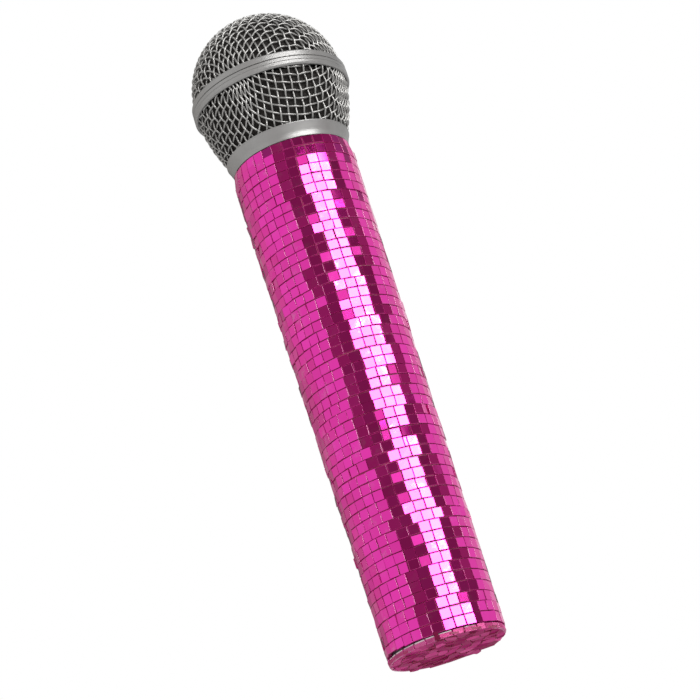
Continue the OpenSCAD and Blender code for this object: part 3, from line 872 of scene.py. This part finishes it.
def film_material():
    """Thin creased film, a little golden."""
    g = Graph("diaphragm_film")
    creases = g.noise(1.5 * MM, 3, 0.6)
    g.put("Base Color", g.blend(g.spread(creases, 0, 1), (0.55, 0.45, 0.22), (0.75, 0.66, 0.4)))
    g.put("Roughness", g.spread(creases, 0.12, 0.25))
    g.bump(creases, 0.03 * MM)
    return g.mat


def cell_material():
    """Printed shrink sleeve: graphite, with a copper-coloured band round the upper third of each cell."""
    g = Graph("cell_wrap")
    scuff = g.noise(0.7 * MM, 4, 0.6)
    z = g.axes()[2]
    banded = 0.0
    for cell in ("lower_cell", "upper_cell"):
        low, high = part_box(cell)
        above = g.maths("GREATER_THAN", z, high.z - COPPER_SHARE * (high.z - low.z))
        below = g.maths("LESS_THAN", z, high.z)
        banded = g.maths("ADD", banded, g.maths("MULTIPLY", above, below))
    dark = g.blend(g.spread(scuff, 0, 1), (0.012, 0.012, 0.014), (0.022, 0.022, 0.025))
    copper = g.blend(g.spread(scuff, 0, 1), (0.5, 0.17, 0.06), (0.62, 0.24, 0.09))
    g.put("Base Color", g.blend(banded, dark, copper))
    g.put("Metallic", g.maths("MULTIPLY", banded, 0.8))
    g.put("Roughness", g.spread(scuff, 0.24, 0.36))
    g.bump(scuff, 0.008 * MM)
    return g.mat


def slot_materials():
    """One finish for each material slot of the record, apart from the mirrors and the foam."""
    return {
        "tube": moulded("tube_plastic", (0.05, 0.05, 0.055), 0.5),
        "grout": grout_material(),
        "end_plate": end_plate_material(),
        "satin_silver": satin_metal("satin_silver_with_painted_edge_shade", (0.215, 0.212, 0.207), 0.33, 0.22, 0.27),
        "silver_wire": drawn_wire(),
        "black_plastic": moulded("black_moulding", (0.02, 0.02, 0.021), 0.45),
        "black_rubber": moulded("black_rubber_skin", (0.018, 0.018, 0.018), 0.75, 0.25, 0.02),
        "steel": plain_metal("plated_steel", (0.62, 0.62, 0.6), 0.28),
        "dark_metal": plain_metal("blackened_metal", (0.12, 0.12, 0.125), 0.4),
        "magnet": plain_metal("ground_magnet", (0.2, 0.2, 0.21), 0.5),
        "copper": plain_metal("enamelled_copper", (0.72, 0.32, 0.12), 0.3),
        "film": film_material(),
        "lead_sleeve": moulded("red_lead_sleeve", (0.5, 0.03, 0.02), 0.35),
        "tray": moulded("ivory_moulding", (0.66, 0.62, 0.5), 0.5),
        "cell_sleeve": cell_material(),
        "contact": plain_metal("sprung_brass", (0.75, 0.55, 0.2), 0.3),
        "circuit_board": circuit_material(),
        "capacitor_sleeve": moulded("blue_shrink_sleeve", (0.02, 0.04, 0.22), 0.3),
        "lamp": moulded("green_lamp_lens", (0.08, 0.5, 0.08), 0.15),
        "knob": moulded("white_knob", (0.75, 0.75, 0.74), 0.35),
    }


def dress_cad(materials):
    """Gives every CAD node the finish of its record slot."""
    for part in frame["record"]["subparts"]:
        slot = part["material_slot"]
        if slot in materials:
            obj = frame["nodes"][part["node"]]
            obj.data.materials.clear()
            obj.data.materials.append(materials[slot])


# ---------- studio ----------

def emitter(name, colour, strength):
    """A material that only glows."""
    mat = bpy.data.materials.new(name)
    mat.use_nodes = True
    tree = mat.node_tree
    tree.nodes.clear()
    out = tree.nodes.new("ShaderNodeOutputMaterial")
    glow = tree.nodes.new("ShaderNodeEmission")
    glow.inputs["Color"].default_value = (*colour, 1)
    glow.inputs["Strength"].default_value = strength
    tree.links.new(glow.outputs[0], out.inputs["Surface"])
    return mat


def glowing_card(name, verts, faces, colour, strength):
    """A stage card that only shows in reflections."""
    card = new_object(name, verts, faces)
    card.data.materials.append(emitter(name + "_glow", colour, strength))
    card.visible_camera = card.visible_shadow = card.visible_diffuse = False


def studio_card(name, start, end, z0, z1, colour, strength):
    """An upright curved card round the object, from one azimuth to another in degrees.
    Azimuth 0 is the camera's side and 90 is the object's right."""
    steps = max(2, int(abs(end - start) / 2))
    verts = []
    for k in range(steps + 1):
        a = math.radians(start + (end - start) * k / steps)
        verts += [(CARD_R * math.sin(a), -CARD_R * math.cos(a), z) for z in (z0, z1)]
    faces = [(2 * k, 2 * k + 1, 2 * k + 3, 2 * k + 2) for k in range(steps)]
    glowing_card(name, verts, faces, colour, strength)


def square(half, z, x0=0, y0=0):
    """Corners of a level square, half of a side from its middle at x0, y0."""
    return [(x0 + x * half, y0 + y * half, z) for x, y in ((-1, -1), (1, -1), (1, 1), (-1, 1))]


def make_floor():
    """A wide pale floor, well below the object."""
    floor = new_object("floor", square(40, FLOOR_Z), [(0, 1, 2, 3)])
    g = Graph("pale_floor")
    speck = g.noise(40 * MM, 3, 0.5)
    g.put("Base Color", g.blend(speck, (0.95, 0.95, 0.95), (0.98, 0.98, 0.98)))
    g.put("Roughness", 0.6)
    floor.data.materials.append(g.mat)


def make_cards():
    """What the mirrors see: a tall lamp to the right of the camera between two dark flags, a dim far left,
    a dark back, and a grey ceiling with a brighter patch."""
    flag, white, wall = (1, 0.72, 0.72), (1, 1, 1), (1, 0.95, 0.9)
    low, high = -0.3, 1.44
    lamp_low, lamp_high = 0.15, 0.88
    for name, start, end, strength in (
            ("left_flag_edge", -30, -16, 0.34), ("left_flag", -16, 7.5, 0.25),
            ("right_flag", 65.5, 80, 0.23), ("right_flag_edge", 80, 94, 0.36)):
        studio_card(name, start, end, low, high, flag, strength)
    studio_card("top_flag", -16, 94, lamp_high + 0.02, high, flag, 0.22)
    for name, start, end, strength in (
            ("lamp_rim", 7.5, 14, 1.3), ("lamp_inner", 14, 38, 14),
            ("lamp_outer", 38, 62, 17), ("lamp_far_rim", 62, 65.5, 1.3)):
        studio_card(name, start, end, lamp_low, lamp_high, white, strength)
    for k, strength in enumerate((0.9, 0.75, 0.55, 0.36)):
        studio_card(f"left_wall_{k}", -95 - 20 * k, -115 - 20 * k, low, high, wall, strength)
    studio_card("back_wall", 205, 165, low, high, wall, 0.22)
    glowing_card("ceiling", square(1.9, 1.45, x0=0.65), [(0, 1, 2, 3)], white, 0.35)
    glowing_card("top_glow", square(0.53, 1.4, y0=0.65), [(0, 1, 2, 3)], white, 1.8)


def area_lamp(name, place, aim, size, power):
    """A soft round lamp that lights matt surfaces but isn't seen in the mirrors."""
    data = bpy.data.lights.new(name, "AREA")
    data.shape = "DISK"
    data.size = size
    data.energy = power
    lamp = bpy.data.objects.new(name, data)
    bpy.context.scene.collection.objects.link(lamp)
    lamp.location = place
    lamp.rotation_euler = (Vector(aim) - Vector(place)).to_track_quat("-Z", "Y").to_euler()
    lamp.visible_camera = False
    lamp.visible_glossy = False


def make_studio():
    """White surroundings, the cards and two soft lamps."""
    world = bpy.data.worlds.new("studio")
    world.use_nodes = True
    world.node_tree.nodes["Background"].inputs["Color"].default_value = (1, 1, 1, 1)
    world.node_tree.nodes["Background"].inputs["Strength"].default_value = 1.0
    bpy.context.scene.world = world
    make_cards()
    area_lamp("key_lamp", (0.7, -1.0, 0.75), (0, 0, 0.12), 0.5, 9)
    area_lamp("fill_lamp", (-0.9, -0.8, 0.2), (0, 0, 0.1), 0.8, 4)


def make_camera():
    """The camera in front of and below the object, rolled so that the handle leans in the picture."""
    data = bpy.data.cameras.new("camera")
    data.lens = CAM_LENS
    data.sensor_width = 36
    data.clip_start, data.clip_end = 0.01, 50
    cam = bpy.data.objects.new("camera", data)
    bpy.context.scene.collection.objects.link(cam)
    forward = Vector((0, math.cos(CAM_ELEVATION), math.sin(CAM_ELEVATION)))
    right = Vector((1, 0, 0))
    up = right.cross(forward)
    c, s = math.cos(CAM_ROLL), math.sin(CAM_ROLL)
    side, top = right * c - up * s, right * s + up * c
    place = Vector((CAM_SIDE, 0, CAM_AIM_Z)) - forward * CAM_DISTANCE
    cam.matrix_world = Matrix((
        (side.x, top.x, -forward.x, place.x),
        (side.y, top.y, -forward.y, place.y),
        (side.z, top.z, -forward.z, place.z),
        (0, 0, 0, 1),
    ))
    bpy.context.scene.camera = cam


# ---------- assembly ----------

def attach(obj, body, node):
    """A detailed piece rides on a body and takes the place of a CAD node."""
    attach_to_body(obj, body)
    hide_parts(node)


def make_handle(materials):
    """The tiles and the grout round the handle, and the pieces on its flat end."""
    mirror = pink_mirror("pink_mirror_glass", (0.63, 0.006, 0.295), (0.73, 0.013, 0.375), 0.03, 0.72)
    dusky = pink_mirror("dusky_mirror_glass", (0.2, 0.02, 0.07), (0.55, 0.10, 0.27), 0.25, 0.15)
    rim = pink_mirror("rim_mirror_glass", (0.36, 0.05, 0.16), (0.5, 0.1, 0.26), 0.4, 0.1)
    edge = glass_edge()
    # Dark joints between the rim's slivers, and painted shade at the notch.
    joint_glue_and_notch_shade = moulded("joint_glue_and_painted_notch_shade", (0.13, 0.002, 0.03), 0.7, shine=0.08)

    attach(make_side_tiles(mirror, edge), "handle", "side_mirror_tiles")
    grout = make_grout()
    grout.data.materials.append(materials["grout"])
    attach(grout, "handle", "grout_bed")
    for end in (make_end_pieces(dusky, materials["grout"]), make_rim_chips(rim, edge, joint_glue_and_notch_shade)):
        attach(end, "transmitter", "end_mirror_pieces")


def make_head(materials):
    """The woven wire and the foam behind it."""
    for obj, node in zip(make_grilles(), ("dome_grille", "bowl_grille")):
        obj.data.materials.append(materials["silver_wire"])
        attach(obj, "head", node)
    foam = foam_material()
    for obj, node in ((make_dome_foam(), "dome_foam"), (make_bowl_foam(), "bowl_foam")):
        obj.data.materials.append(foam)
        attach(obj, "head", node)


def main():
    """Everything in the scene, around the CAD nodes of the frame."""
    make_camera()
    materials = slot_materials()
    dress_cad(materials)
    make_handle(materials)
    make_head(materials)
    make_floor()
    make_studio()
    bpy.context.scene.view_settings.view_transform = "Standard"


main()
